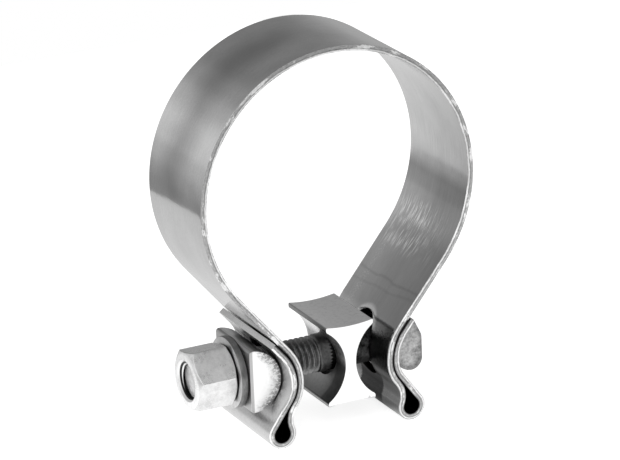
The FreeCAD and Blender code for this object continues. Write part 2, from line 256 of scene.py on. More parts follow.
# a number that a node gives, so that sums of nodes are written as sums
class Number:
    def __init__(self, tree, socket):
        self.tree = tree
        self.socket = socket

    def __add__(self, other):
        return calc(self.tree, "ADD", self, other)

    def __sub__(self, other):
        return calc(self.tree, "SUBTRACT", self, other)

    def __rsub__(self, other):
        return calc(self.tree, "SUBTRACT", other, self)

    def __mul__(self, other):
        return calc(self.tree, "MULTIPLY", self, other)

    def __abs__(self):
        return calc(self.tree, "ABSOLUTE", self)

    def atMost(self, other):
        return calc(self.tree, "MINIMUM", self, other)

    def atLeast(self, other):
        return calc(self.tree, "MAXIMUM", self, other)

    # distance from the middle, with another number at right angles
    def reach(self, other):
        return calc(self.tree, "SQRT", self * self + other * other)

    def ranged(self, low, high, toLow, toHigh, smooth=False):
        form = "SMOOTHSTEP" if smooth else "LINEAR"
        inputs = {"Value": self, "From Min": low, "From Max": high, "To Min": toLow, "To Max": toHigh}
        node = addNode(self.tree, "MapRange", {"interpolation_type": form}, **inputs)
        return Number(self.tree, node.outputs["Result"])

    def rising(self, low, high, smooth=False):
        return self.ranged(low, high, 0, 1, smooth)

    def falling(self, low, high, smooth=False):
        return self.ranged(low, high, 1, 0, smooth)

    # noise as a factor round 1
    def varied(self, amount):
        return self.ranged(0.3, 0.7, 1 - amount, 1 + amount)

    # noise as a shift round 0
    def wandering(self, amount):
        return self.ranged(0.3, 0.7, -amount, amount)

    # 1 at a value, falling to 0 at a distance either side
    def near(self, centre, reach):
        return abs(self - centre).falling(0, reach, smooth=True)

    # 1 between two values, with soft ends
    def within(self, low, high, soft):
        return self.rising(low - soft, low, smooth=True) * self.falling(high, high + soft, smooth=True)

    # darker where the mask is 1, or lighter with an amount below 0
    def darkened(self, mask, amount):
        return self * (1.0 - mask * amount)

    # the other tone where the mask is 1
    def overlaid(self, other, mask):
        return self + mask * (other - self)


def splitAxes(tree, vector):
    return [Number(tree, socket) for socket in addNode(tree, "SeparateXYZ", Vector=vector).outputs]


# a place on a piece, with the numbers read from it
class Place:
    def __init__(self, tree, spot, **numbers):
        self.tree = tree
        self.spot = spot
        for name, number in numbers.items():
            setattr(self, name, number)

    def noise(self, stretch, detail, roughness=0.6):
        mapping = addNode(self.tree, "Mapping", Vector=self.spot, Scale=stretch)
        noise = addNode(self.tree, "TexNoise", Vector=mapping.outputs["Vector"], Scale=1.0,
                        Detail=detail, Roughness=roughness)
        return Number(self.tree, noise.outputs["Fac"])


def useGrey(shader, tone):
    colour = addNode(shader.id_data, "CombineColor", Red=tone, Green=tone, Blue=tone)
    setInputs(shader, {"Base Color": colour.outputs["Color"]})


def useRoughness(shader, noise, finish, extra=0.0):
    rough = noise.ranged(0.35, 0.65, finish["roughLow"], finish["roughHigh"])
    setInputs(shader, {"Roughness": rough + extra})


# chains height layers, each (height, strength, depth in mm)
def useBump(shader, layers):
    normal = None
    for height, strength, depth in layers:
        bump = addNode(shader.id_data, "Bump", Height=height, Strength=strength, Distance=depth * mm)
        if normal:
            setInputs(bump, {"Normal": normal})
        normal = bump.outputs["Normal"]
    setInputs(shader, {"Normal": normal})


# the piece's own place in mm: along the bolt, along the pipe, up, and degrees round the pipe
def placeInMm(tree):
    coordinates = addNode(tree, "TexCoord").outputs["Object"]
    spot = addNode(tree, "VectorMath", {"operation": "SCALE"}, Vector=coordinates, Scale=1 / mm).outputs[0]
    x, y, z = splitAxes(tree, spot)
    return Place(tree, spot, x=x, y=y, z=z, turn=calc(tree, "ARCTAN2", z, x) * (180 / pi))


# camera and studio

cameraView = {
    "azimuth": 25.62, "elevation": 19.68, "distance": 978.2,  # degrees, mm
    "focal": 3866.2,  # pixels, for an image 620 wide
    "aimX": -0.96, "aimZ": -13.76, "roll": -2.31,
}
imageWidth = 620
sensorWidth = 36.0


def makeCamera():
    a, e, r = (radians(cameraView[key]) for key in ("azimuth", "elevation", "roll"))
    forward = Vector((sin(a) * cos(e), cos(a) * cos(e), -sin(e)))
    level = Vector((cos(a), -sin(a), 0))
    upright = level.cross(forward)
    right = level * cos(r) + upright * sin(r)
    up = upright * cos(r) - level * sin(r)
    aim = level * cameraView["aimX"] + upright * cameraView["aimZ"]
    camera = bpy.data.objects.new("camera", bpy.data.cameras.new("camera"))
    bpy.context.scene.collection.objects.link(camera)
    camera.data.sensor_width = sensorWidth
    camera.data.lens = cameraView["focal"] / imageWidth * sensorWidth
    camera.data.clip_start = 0.05
    camera.data.clip_end = 20
    camera.rotation_mode = "QUATERNION"
    camera.rotation_quaternion = Matrix((right, up, -forward)).transposed().to_quaternion()
    camera.location = (aim - forward * cameraView["distance"]) * mm
    bpy.context.scene.camera = camera


studio = {
    "floorLevel": -65.3, "floorTone": 0.8,
    "floorOutline": [(-118, -260), (300, -260), (300, 330), (-112, 330), (-104, 270), (-86, 224),
                     (-77, 192), (-100, 176), (-121, 168)],
    "floorGlow": 0.80,  # added where the camera sees the floor, which keeps a faint shadow
    # in the metal the floor glows as painted light, brighter before the clamp than behind it
    "floorFront": 1.25, "floorBack": 0.78,  # the floor in the metal, before and behind the clamp
    # shade on the floor in the metal, under the block and behind the left ear:
    # (x, y, reach x, reach y, tone)
    "shades": [(14, 12, 15, 22, 0.25), (-13, 38, 11, 13, 0.03)], "shadeSoft": 0.3,
    "frontLift": 0.25,  # how much brighter the room is on the camera's side
}
# brightness of the room above the floor, by angle about the pipe axis: (degrees, tone)
roomZones = [
    (0, 0.46), (10, 0.39), (20, 0.33), (35, 0.28), (55, 0.27), (80, 0.25), (102, 0.27), (120, 0.38),
    (140, 0.60), (158, 0.80), (176, 0.76), (190, 0.60), (202, 0.44), (214, 0.36), (270, 0.28), (330, 0.42),
]
lamps = [
    # name, place, size, power; all aim at the clamp
    ("keyLamp", (-560, -1000, 960), 2400, 8.5),
    ("fillLamp", (900, -450, 600), 1600, 1.9),
]


def makeRoom(scene):
    world = bpy.data.worlds.new("studio")
    world.use_nodes = True
    scene.world = world
    tree = world.node_tree
    tree.nodes.clear()
    x, y, z = splitAxes(tree, addNode(tree, "TexCoord").outputs["Generated"])
    ramp = addNode(tree, "ValToRGB", Fac=calc(tree, "ARCTAN2", z, x).rising(-pi, pi))
    stops = ramp.color_ramp.elements
    ramp.color_ramp.interpolation = "EASE"
    placed = sorted((((degrees + 180) % 360) / 360, tone) for degrees, tone in roomZones)
    for zone in placed[1:-1]:
        stops.new(zone[0])
    for stop, (position, tone) in zip(stops, placed):
        stop.position = position
        stop.color = (tone, tone, tone, 1)
    toFront = y.ranged(-0.1, -0.6, 1, 1 + studio["frontLift"], smooth=True)
    room = addNode(tree, "Background", Color=ramp.outputs["Color"], Strength=toFront)
    white = addNode(tree, "Background", Color=(1, 1, 1, 1), Strength=1.0)
    seen = addNode(tree, "LightPath").outputs["Is Camera Ray"]
    mix = addNode(tree, "MixShader", Fac=seen, i1=room.outputs[0], i2=white.outputs[0])
    addNode(tree, "OutputWorld", Surface=mix.outputs[0])


# pale floor; in the metal it glows bright as painted light, with painted shade under and behind the clamp
def floorMaterial():
    material, tree, shader = newMaterial("paleFloor")
    at = placeInMm(tree)
    pale, soft = studio["floorTone"], studio["shadeSoft"]
    tone = at.y.ranged(0, 75, studio["floorFront"], studio["floorBack"], smooth=True)
    for centreX, centreY, reachX, reachY, shade in studio["shades"]:
        away = ((at.x - centreX) * (1 / reachX)).reach((at.y - centreY) * (1 / reachY))
        tone *= away.ranged(1 - soft, 1 + soft, shade, 1, smooth=True)
    rays = addNode(tree, "LightPath").outputs
    setInputs(shader, {
        "Metallic": 0.0, "Base Color": (pale, pale, pale, 1), "Roughness": 0.9, "Specular IOR Level": 0.1,
        "Emission Color": (1, 1, 1, 1),
        "Emission Strength": Number(tree, rays["Is Camera Ray"]) * studio["floorGlow"],
    })
    inMetal = addNode(tree, "Emission", Color=(1, 1, 1, 1), Strength=tone)
    mix = addNode(tree, "MixShader", Fac=rays["Is Glossy Ray"],
                  i1=shader.outputs[0], i2=inMetal.outputs[0])
    setInputs(tree.nodes["Material Output"], {"Surface": mix.outputs[0]})
    return material


def makeStudio():
    scene = bpy.context.scene
    scene.view_settings.view_transform = "Standard"
    makeRoom(scene)
    for name, place, width, power in lamps:
        light = bpy.data.lights.new(name, "AREA")
        light.shape = "DISK"
        light.size = width * mm
        light.energy = power
        lamp = bpy.data.objects.new(name, light)
        lamp.location = Vector(place) * mm
        lamp.rotation_mode = "QUATERNION"
        lamp.rotation_quaternion = (-Vector(place)).to_track_quat("-Z", "Y")
        scene.collection.objects.link(lamp)
    outline = [(x, y, studio["floorLevel"]) for x, y in studio["floorOutline"]]
    floor = meshPiece("floor", outline, [tuple(range(len(outline)))], [floorMaterial()])


makeCamera()
makeStudio()
print("camera and studio made")


# band: one strip bent round the pipe, each end folded back into a two-ply ear

band = {
    "boreRadius": 36.5, "sheet": 1.6, "width": 31.0,
    "earGap": 23.76, "earDrop": 48.4, "earUpperRadius": 15.0, "earLowerRadius": 10.5,
    "neckRadius": 5.2, "loopBore": 4.38, "loopDrop": 61.5, "loopSpread": 36.88,
    "plyGap": 0.25, "rightLap": 3.3, "leftLap": 4.1,
    "slotWidth": 10.6, "slotTopDrop": 39.6, "slotBottomDrop": 56.5, "slotEndSteps": 14,
    "edgeRound": 0.16, "stepLength": 0.55, "ringStep": 1.1, "columns": 9, "closestRows": 0.02,
}
stripUnit = 100  # mm to one unit of the strip's map
# places of some runs in bandRuns, which counts from the left outer ply's end
leftLoopRun, leftRootRun, rightEarRun, rightLoopRun = 4, 8, 11, 14


# touch points of the line that runs between two circles
def crossedTangent(centreA, radiusA, centreB, radiusB, side):
    axis = toward(centreA, centreB)
    along = (radiusA + radiusB) / spacing(centreA, centreB)
    across = side * sqrt(1 - along * along)
    normal = (axis[0] * along - axis[1] * across, axis[1] * along + axis[0] * across)
    return plus(centreA, normal, radiusA), plus(centreB, normal, -radiusB)


# one crossing of two circles
def meetingPoint(centreA, radiusA, centreB, radiusB, side):
    axis, apart = toward(centreA, centreB), spacing(centreA, centreB)
    along = (apart ** 2 + radiusA ** 2 - radiusB ** 2) / (2 * apart)
    across = side * sqrt(radiusA ** 2 - along ** 2)
    return (centreA[0] + axis[0] * along - axis[1] * across,
            centreA[1] + axis[1] * along + axis[0] * across)


# right half of the strip's middle line: lines (start, end, None, 0), arcs (start, end, centre, turn)
def earRuns(lap):
    half = band["sheet"] / 2
    ply = band["sheet"] + band["plyGap"]
    face, level = band["earGap"] / 2, -band["earDrop"]
    upper, lower = (face + band["earUpperRadius"], level), (face + band["earLowerRadius"], level)
    upperR, lowerR = band["earUpperRadius"] - half, band["earLowerRadius"] - half
    neckR = band["neckRadius"] + half
    loop, loopR = (band["loopSpread"] / 2, -band["loopDrop"]), band["loopBore"] / 2 + half
    ringTouch, earTouch = crossedTangent((0, 0), band["boreRadius"] + half, upper, upperR, 1)
    neck = meetingPoint(lower, lowerR + neckR, loop, loopR + neckR, -1)
    lowerEnd = plus(lower, toward(lower, neck), lowerR)
    neckEnd = plus(loop, toward(loop, neck), loopR)
    loopEnd, outerStart = crossedTangent(loop, loopR, lower, lowerR - ply, -1)
    outerEnd = plus(upper, toward(upper, earTouch), upperR - ply)
    innerCrest, outerCrest = (lower[0] - lowerR, level), (lower[0] - lowerR + ply, level)
    return ringTouch, [
        (ringTouch, earTouch, None, 0), (earTouch, innerCrest, upper, 1), (innerCrest, lowerEnd, lower, 1),
        (lowerEnd, neckEnd, neck, -1), (neckEnd, loopEnd, loop, 1), (loopEnd, outerStart, None, 0),
        (outerStart, outerCrest, lower, -1), (outerCrest, outerEnd, upper, -1),
        (outerEnd, plus(outerEnd, toward(earTouch, ringTouch), lap), None, 0),
    ]


def bandRuns():
    ringTouch, right = earRuns(band["rightLap"])
    left = []
    for start, end, centre, turn in reversed(earRuns(band["leftLap"])[1]):
        flipped = None if centre is None else (-centre[0], centre[1])
        left.append(((-end[0], end[1]), (-start[0], start[1]), flipped, turn))
    return left + [((-ringTouch[0], ringTouch[1]), ringTouch, (0, 0), -1)] + right


def runLength(run):
    start, end, centre, turn = run
    if centre is None:
        return spacing(start, end)
    sweep = ((bearing(centre, end) - bearing(centre, start)) * turn) % (2 * pi)
    return sweep * spacing(centre, start)


# middle point and left-hand normal at a distance along a run
def pointOn(run, along):
    start, end, centre, turn = run
    if centre is None:
        direction = toward(start, end)
        return plus(start, direction, along), (-direction[1], direction[0])
    radius = spacing(centre, start)
    angle = bearing(centre, start) + turn * along / radius
    outward = (cos(angle), sin(angle))
    return plus(centre, outward, radius), (-turn * outward[0], -turn * outward[1])


def runLengths():
    return [runLength(run) for run in bandRuns()]


# places along the strip between which no outer ply covers it
def barePlaces():
    lengths = runLengths()
    return (sum(lengths[:leftRootRun]) + band["leftLap"],
            sum(lengths) - sum(lengths[rightEarRun:]) - band["rightLap"])


# places along the strip where the two loops turn back
def loopPlaces():
    lengths = runLengths()
    return [sum(lengths[:loop]) + lengths[loop] / 2 for loop in (leftLoopRun, rightLoopRun)]


def slotEndCentres():
    radius = band["slotWidth"] / 2
    return radius, -band["slotTopDrop"] - radius, -band["slotBottomDrop"] + radius


# half the slot's width at a height, 0 past its rounded ends
def slotHalfWidth(z):
    radius, top, bottom = slotEndCentres()
    over = max(z - top, bottom - z, 0)
    return sqrt(radius ** 2 - over ** 2) if over < radius else 0.0


def slotHeights():
    radius, top, bottom = slotEndCentres()
    steps = band["slotEndSteps"]
    fan = [radius * sin(pi / 2 * step / steps) for step in range(steps + 1)]
    return [top + rise for rise in fan] + [bottom - rise for rise in fan]


# where a run passes a height, as a distance along it, or None
def crossingOf(run, height):
    low, high = 0.0, runLength(run)
    lowSide = pointOn(run, low)[0][1] - height
    if lowSide * (pointOn(run, high)[0][1] - height) > 0:
        return None
    for halving in range(40):
        middle = (low + high) / 2
        if (pointOn(run, middle)[0][1] - height) * lowSide > 0:
            low = middle
        else:
            high = middle
    return low


# stations along the strip, with extra ones where the slot's rounded ends need them
def bandStations():
    closest = band["closestRows"]
    stations, begun = [], 0.0
    for run in bandRuns():
        length = runLength(run)
        onRing = run[2] == (0, 0)
        count = max(2, ceil(length / (band["ringStep"] if onRing else band["stepLength"])))
        found = [length * step / count for step in range(count)]
        if not onRing:
            crossings = [crossingOf(run, height) for height in slotHeights()]
            found += [along for along in crossings if along is not None]
        kept = []
        for along in sorted(found):
            if (not kept or along - kept[-1] > closest) and length - along > closest:
                kept.append(along)
                stations.append((begun + along, *pointOn(run, along)))
        begun += length
    stations.append((begun, *pointOn(run, length)))
    return stations


# two rows of points at each station, for the strip's two faces, parted where the slot is
def bandRows():
    half, halfWidth, columns = band["sheet"] / 2, band["width"] / 2, band["columns"]
    slotEnds = (-band["slotTopDrop"], -band["slotBottomDrop"])
    atEnd = 0.001
    points, rows = [], []
    for along, (x, z), (nx, nz) in bandStations():
        opening = slotHalfWidth(z) if min(abs(z - end) for end in slotEnds) >= atEnd else 0.0
        apart = halfWidth - opening
        sides = []
        for offset in (half, -half):
            places = [-halfWidth + apart * step / columns for step in range(columns + 1)]
            if opening > 0:
                places.append(opening)
            places += [opening + apart * step / columns for step in range(1, columns + 1)]
            first = len(points)
            points.extend((x + nx * offset, y, z + nz * offset) for y in places)
            sides.append(list(range(first, first + len(places))))
        rows.append((sides[0], sides[1], opening > 0, along / stripUnit))
    return points, rows


def makeBand(outside, inside, cutEdge, cutEnd):
    points, rows = bandRows()
    columns = band["columns"]
    edgeSide = 0.01  # place of the cut edges' two borders on the strip's map
    faces, marks, stripMap = [], [], []

    def addFace(corners, across, mark):
        faces.append(corners)
        stripMap.append(across)
        marks.append(mark)

    def parted(side, split):
        return side[:columns + 1], side[columns + 1 if split else columns:]

    def slotSides(side, split):
        low, high = parted(side, split)
        return low[-1], high[0]

    def sideOf(index, outer):
        return edgeSide if index in outer else -edgeSide

    for (outerA, innerA, splitA, uA), (outerB, innerB, splitB, uB) in zip(rows, rows[1:]):
        for a, b, mark in ((outerA, outerB, 0), (innerA, innerB, 1)):
            for partA, partB in zip(parted(a, splitA), parted(b, splitB)):
                for step in range(columns):
                    corners = [partA[step], partA[step + 1], partB[step + 1], partB[step]]
                    if mark:
                        corners.reverse()
                    addFace(corners, [(uA if index in partA else uB, points[index][1] / stripUnit)
                                      for index in corners], mark)
        rims = [(outerA[0], innerA[0], innerB[0], outerB[0]),
                (innerA[-1], outerA[-1], outerB[-1], innerB[-1])]
        if splitA or splitB:
            lowA, highA = slotSides(outerA, splitA)
            lowB, highB = slotSides(outerB, splitB)
            deepLowA, deepHighA = slotSides(innerA, splitA)
            deepLowB, deepHighB = slotSides(innerB, splitB)
            rims += [(deepLowA, lowA, lowB, deepLowB), (highA, deepHighA, deepHighB, highB)]
        outer, first = set(outerA) | set(outerB), set(outerA) | set(innerA)
        for rim in rims:
            addFace(list(rim), [(uA if index in first else uB, sideOf(index, outer)) for index in rim], 2)
    for row, flip in ((rows[0], True), (rows[-1], False)):
        outer, inner = row[:2]
        for step in range(len(outer) - 1):
            quad = [outer[step], outer[step + 1], inner[step + 1], inner[step]]
            if flip:
                quad.reverse()
            addFace(quad, [(points[index][1] / stripUnit, sideOf(index, outer)) for index in quad], 3)
    piece = meshPiece("band", points, faces, [outside, inside, cutEdge, cutEnd], marks)
    layer = piece.data.uv_layers.new(name="strip")
    layer.data.foreach_set("uv", [value for face in stripMap for pair in face for value in pair])
    with openMesh(piece) as mesh:
        bmesh.ops.recalc_face_normals(mesh, faces=mesh.faces)
    smoothByAngle(piece, 40)
    bevelEdges(piece, band["edgeRound"], 60)
    finishNormals(piece, 50)
    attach(piece, "clamp")
    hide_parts("band")


bandFinish = {
    "outside": 0.62, "roughLow": 0.10, "roughHigh": 0.20, "mottle": 0.10, "grain": 0.05, "speckle": 0.05,
    # darker along the middle of the outside: strength, (centre, reach), (from angle, to angle, soft)
    "middleDark": 0.34, "middleDarkAcross": (1.3, 11), "middleDarkAngles": (104, 172, 22), "middleDarkDrift": 3,
    # where the outer plies end: a painted reflection of their ends on the leg, painted shade in the
    # crevice and painted shade on the hidden faces behind them
    "paintedMirrorLength": 2.4, "paintedMirror": 0.45, "creviceWidth": 0.4, "creviceShade": 0.9, "shadeBetweenPlies": 0.06,
    # inside of the ring, painted light and shade: brighter above a level line, darker below and in front,
    # lighter toward the back; darker on the leg
    "insideHigh": 0.56, "insideLow": 0.30, "lineAngles": (-12, -6), "legTone": 0.90,
    "frontShade": 0.86, "backLight": 1.18, "backLightLow": 1.5, "outerPly": 0.52,
    # rubbed streaks: gain, (from angle, to angle, soft), (centre, reach)
    "rubbed": 1.5, "rubbedAngles": (-40, -29, 9), "rubbedAcross": (3, 19),
    # faint bend lines across the right leg: (height, slant, strength)
    "bendLines": [(-32.3, -0.03, 0.20), (-34.5, -0.07, 0.13)], "bendWidth": 0.55,
    # painted highlight round the dimpled rim above the slot
    "slotRimHighlight": 0.9, "slotRimHighlightWidth": 0.9, "slotShade": 0.85,
    "worn": 0.5, "wornAcross": (10.5, 3.0), "wornHeights": (-40, -26, 2),
    # sheared edges: burnished line and groove as (side, width)
    "cutDark": 0.24, "cutMiddle": 0.40, "cutBright": 0.80, "cutLimit": 0.92, "cutRough": 0.34,
    "burnished": (-0.62, 0.42), "groove": (-0.12, 0.22), "grooveShade": 0.45,
    # painted shade on the cut edges beside the gap between the plies and inside the slot
    "shadeBesideGap": 0.93, "edgeShadeInSlot": 0.9, "endTone": 0.82,
}


# the strip's own map, and the places along and across it in mm
def stripPlace(tree):
    spot = addNode(tree, "UVMap", {"uv_map": "strip"}).outputs["UV"]
    along, side = splitAxes(tree, spot)[:2]
    return Place(tree, spot, along=along * stripUnit, side=side * stripUnit)


def bandOutsideMaterial():
    material, tree, shader = newMaterial("satinBandOutside")
    finish, strip, at = bandFinish, stripPlace(tree), placeInMm(tree)
    clouds = strip.noise((7, 9, 1), 5, 0.55)
    grain = strip.noise((12, 380, 1), 3)
    speckle = strip.noise((160, 160, 1), 3, 0.7)
    # darker along the middle of the outside, over a range of angles round the pipe
    drift = at.y - strip.noise((5, 2, 1), 2).wandering(finish["middleDarkDrift"])
    middleDark = drift.near(*finish["middleDarkAcross"]) * at.turn.within(*finish["middleDarkAngles"])
    tone = clouds.varied(finish["mottle"]) * grain.varied(finish["grain"])
    tone *= speckle.varied(finish["speckle"]) * finish["outside"]
    tone = tone.darkened(middleDark * clouds.ranged(0.3, 0.7, 0.7, 1.25), finish["middleDark"])
    # painted reflection of each outer ply's end on the leg, painted shade in the crevice and on the faces
    # hidden behind the plies
    fromLeft, fromRight = barePlaces()
    bare = (strip.along - fromLeft).atMost(fromRight - strip.along)
    tone = tone.darkened(bare.within(0, finish["paintedMirrorLength"], 0.12), finish["paintedMirror"])
    tone = tone.darkened(bare.near(0.2, 0.8), finish["creviceShade"])
    useGrey(shader, tone.darkened(bare.falling(0, finish["creviceWidth"]), 1 - finish["shadeBetweenPlies"]))
    useRoughness(shader, clouds, finish)
    useBump(shader, [(grain, 0.12, 0.01), (clouds, 0.2, 0.2)])
    return material


def bandInsideMaterial():
    material, tree, shader = newMaterial("rubbedBandInside")
    finish, strip, at = bandFinish, stripPlace(tree), placeInMm(tree)
    clouds = strip.noise((8, 10, 1), 5, 0.55)
    scratches = strip.noise((7, 420, 1), 4, 0.75)
    streaks = strip.noise((22, 190, 1), 4)
    specks = strip.noise((220, 260, 1), 2)
    # painted light and shade: brighter above a level line, darker below and in front, lighter toward the
    # back
    tone = at.turn.ranged(*finish["lineAngles"], finish["insideLow"], finish["insideHigh"], smooth=True)
    tone *= clouds.varied(0.08) * scratches.varied(0.12) * at.y.ranged(-15, 0, finish["frontShade"], 1)
    tone *= at.turn.ranged(-60, -30, finish["legTone"], 1)
    back = at.turn.ranged(-20, 0, finish["backLightLow"] - 1, finish["backLight"] - 1)
    tone *= at.y.rising(-2, 15) * back + 1.0
    rubbed = at.turn.within(*finish["rubbedAngles"]) * at.y.near(*finish["rubbedAcross"])
    tone = tone.darkened(rubbed * streaks.rising(0.48, 0.68), -finish["rubbed"])
    for height, slant, strength in finish["bendLines"]:
        line = (at.z - at.y * slant + clouds.wandering(0.5)).near(height, finish["bendWidth"])
        line *= at.x.rising(12, 16) * specks.ranged(0.3, 0.6, 0.4, 1)
        tone = tone.darkened(line, strength)
    radius, top = slotEndCentres()[:2]
    # painted highlight round the dimpled rim above the slot
    wide = finish["slotRimHighlightWidth"]
    rimHighlight = at.y.reach((at.z - top).atLeast(0.0)).near(radius + wide, wide * 1.3)
    tone = tone.darkened(rimHighlight * at.z.rising(top + 1, top + 4) * at.x.rising(8, 12), -finish["slotRimHighlight"])
    worn = at.y.near(*finish["wornAcross"]) * at.z.within(*finish["wornHeights"])
    tone = tone.darkened(worn * at.x.rising(12, 14) * specks.rising(0.56, 0.66), -finish["worn"])
    slotSide = (abs(at.y) + specks.wandering(0.4)).falling(radius + 0.5, radius + 1.1)
    tone = tone.darkened(slotSide * at.z.falling(top, top + 2), finish["slotShade"])
    outerTone = clouds.varied(0.10) * specks.varied(0.08) * finish["outerPly"]
    useGrey(shader, outerTone.overlaid(tone, strip.along.within(*loopPlaces(), 0.5)))
    useRoughness(shader, scratches, finish, at.z.ranged(-44, -36, 0.16, 0))
    useBump(shader, [(scratches, 0.07, 0.012), (clouds, 0.12, 0.2)])
    return material


# sheared strip edge: a burnished line along the inside, torn and granular toward the outside
def bandEdgeMaterial():
    material, tree, shader = newMaterial("shearedBandEdge")
    finish, strip, at = bandFinish, stripPlace(tree), placeInMm(tree)
    torn = strip.noise((110, 260, 1), 4, 0.75)
    patches = strip.noise((13, 30, 1), 3)
    across = strip.side + patches.wandering(0.25)
    tone = torn.ranged(0.34, 0.66, finish["cutDark"], finish["cutMiddle"] * 1.35)
    bright = (patches + torn * 0.25).rising(0.64, 0.74, smooth=True)
    for mask in (across.near(*finish["burnished"]), bright):
        tone += mask * (finish["cutBright"] - finish["cutMiddle"])
    tone = tone.darkened(across.near(*finish["groove"]), finish["grooveShade"])
    # painted shade on the cut edges beside the gap between the two plies
    doubled = 1.0 - strip.along.within(*barePlaces(), 1.0)
    beside = (strip.side + at.z.ranged(-47, -38, 0, 0.25)).rising(0.45, 0.95)
    tone = tone.darkened(doubled * beside, finish["shadeBesideGap"])
    # painted shade on the cut edges inside the slot
    shadeInSlot = abs(at.y).falling(6, 7) * at.z.falling(-38, -37)
    useGrey(shader, tone.darkened(shadeInSlot, finish["edgeShadeInSlot"]).atMost(finish["cutLimit"]))
    setInputs(shader, {"Roughness": finish["cutRough"]})
    useBump(shader, [(torn, 0.5, 0.06)])
    return material


# the strip's two ends, cut across the band
def bandEndMaterial():
    material, tree, shader = newMaterial("croppedBandEnd")
    torn = stripPlace(tree).noise((90, 420, 1), 4, 0.7)
    useGrey(shader, torn.varied(0.16) * bandFinish["endTone"])
    setInputs(shader, {"Roughness": bandFinish["cutRough"]})
    useBump(shader, [(torn, 0.4, 0.05)])
    return material


makeBand(bandOutsideMaterial(), bandInsideMaterial(), bandEdgeMaterial(), bandEndMaterial())
print("band made")


# finishes of the smaller pieces: soft clouds under fine grain

def cloudsAndGrain(at, finish):
    return at.noise(finish["clouds"], 4), at.noise(finish["grain"], 5, 0.7)


def mottled(clouds, grain, finish):
    return (clouds * 0.55 + grain * 0.45).ranged(0.38, 0.62, finish["dark"], finish["light"])


def useMottle(shader, clouds, grain, finish):
    useRoughness(shader, clouds, finish)
    useBump(shader, [(grain, finish["bump"], finish["bumpDepth"])])


def mottledMaterial(name, finish):
    material, tree, shader = newMaterial(name)
    at = placeInMm(tree)
    clouds, grain = cloudsAndGrain(at, finish)
    tone = mottled(clouds, grain, finish)
    if "endFrom" in finish:  # paler turned end
        tone = tone.darkened(at.x.falling(finish["endFrom"], finish["endFrom"] + 0.1), -0.22)
    if "shadeFrom" in finish:  # painted shade in the joint with the next piece
        tone = tone.darkened(at.x.rising(finish["shadeFrom"] - 0.12, finish["shadeFrom"]), 0.95)
    useGrey(shader, tone)
    useMottle(shader, clouds, grain, finish)
    return material


# bolt: plain shank, rolled thread and forged half-round head

bolt = {
    "drop": 48.1, "crestX": 15.70, "length": 51.6,
    "shankRadius": 5.0, "threadRadius": 4.9, "threadLength": 34.8, "chamfer": 0.6,
    "pitch": 1.5, "threadDepth": 0.86, "runOut": 1.2, "aroundThread": 64,
    "headRadius": 7.1, "headLength": 20.4, "headRise": 0.9, "headDepth": 8.95, "headFlat": 9.2,
    "headTopAngle": 93, "headBottomAngle": 106,
    "headRound": 3.2, "headSeatRound": 0.5, "headEndRound": 0.6,
}
boltFinish = {
    "thread": (0.11, 0.26), "shank": (0.005, 0.08), "roughLow": 0.36, "roughHigh": 0.5,
    "clouds": (0.5, 0.5, 0.5), "grain": (1.6, 1.4, 1.4), "bump": 0.5, "bumpDepth": 0.1,
    # worn stretch between thread and block, its toothed far edge, and the shade past it
    "wornTurns": 2.9, "worn": 0.62, "teeth": 34, "toothLength": 1.4, "inBlock": 0.93, "inBlockLength": 6,
}
boltEndFinish = {
    "dark": 0.66, "light": 0.90, "roughLow": 0.4, "roughHigh": 0.55,
    "clouds": (0.4, 0.4, 0.4), "grain": (1.6, 1.6, 1.6), "bump": 0.4, "bumpDepth": 0.05,
}
headFinish = {
    "dark": 0.15, "light": 0.54, "roughLow": 0.36, "roughHigh": 0.52, "rim": 0.4, "shadeInSlot": 0.9,
    "clouds": (0.45, 0.45, 0.45), "grain": (1.3, 1.3, 1.3), "bump": 0.7, "bumpDepth": 0.12,
}
boltAxis = (0.0, -bolt["drop"])
threadEnd = bolt["crestX"] - bolt["length"]
threadStart = threadEnd + bolt["threadLength"]
# the thread's form over one pitch: (share of the pitch, share of the depth below the crest)
threadForm = [(0.0, 0.0), (0.09, 0.0), (0.18, 0.22), (0.40, 0.80), (0.47, 0.97), (0.53, 1.0),
              (0.59, 0.97), (0.66, 0.80), (0.88, 0.22)]


# radius of the thread's surface where its helix passes a point
def threadRadiusAt(x, angle, share=1.0):
    place = ((x - threadEnd) / bolt["pitch"] - angle / (2 * pi)) % 1
    corners = threadForm + [(1.0, 0.0)]
    depth = 0.0
    for (low, lowDepth), (high, highDepth) in zip(corners, corners[1:]):
        if low <= place <= high:
            depth = lowDepth + (highDepth - lowDepth) * (place - low) / (high - low)
            break
    return bolt["threadRadius"] - bolt["threadDepth"] * depth * share


def boltRadiusAt(x, angle):
    radius = threadRadiusAt(x, angle, min(1, max(0, (threadStart - x) / bolt["runOut"])))
    return min(radius, bolt["threadRadius"] - bolt["chamfer"] + x - threadEnd)


# a surface whose rows follow the thread's helix between two flat ends
def helicalGrid(startX, endX, radiusAt, around, startAngle=0.0):
    points, faces = [], []
    firstTurn = int((startX - threadEnd) / bolt["pitch"]) - 2
    lastTurn = int((endX - threadEnd) / bolt["pitch"]) + 2
    shares = [turn + share for turn in range(firstTurn, lastTurn) for share, depth in threadForm]
    for share in shares:
        for step in range(around + 1):
            angle = startAngle + 2 * pi * step / around
            x = threadEnd + bolt["pitch"] * (share + angle / (2 * pi))
            x = min(max(x, startX), endX)
            points.append(roundPoint(x, boltAxis, radiusAt(x, angle), angle))
    for row in range(len(shares) - 1):
        for step in range(around):
            low, high = row * (around + 1) + step, (row + 1) * (around + 1) + step
            faces.append((low, low + 1, high + 1, high))
    return points, faces


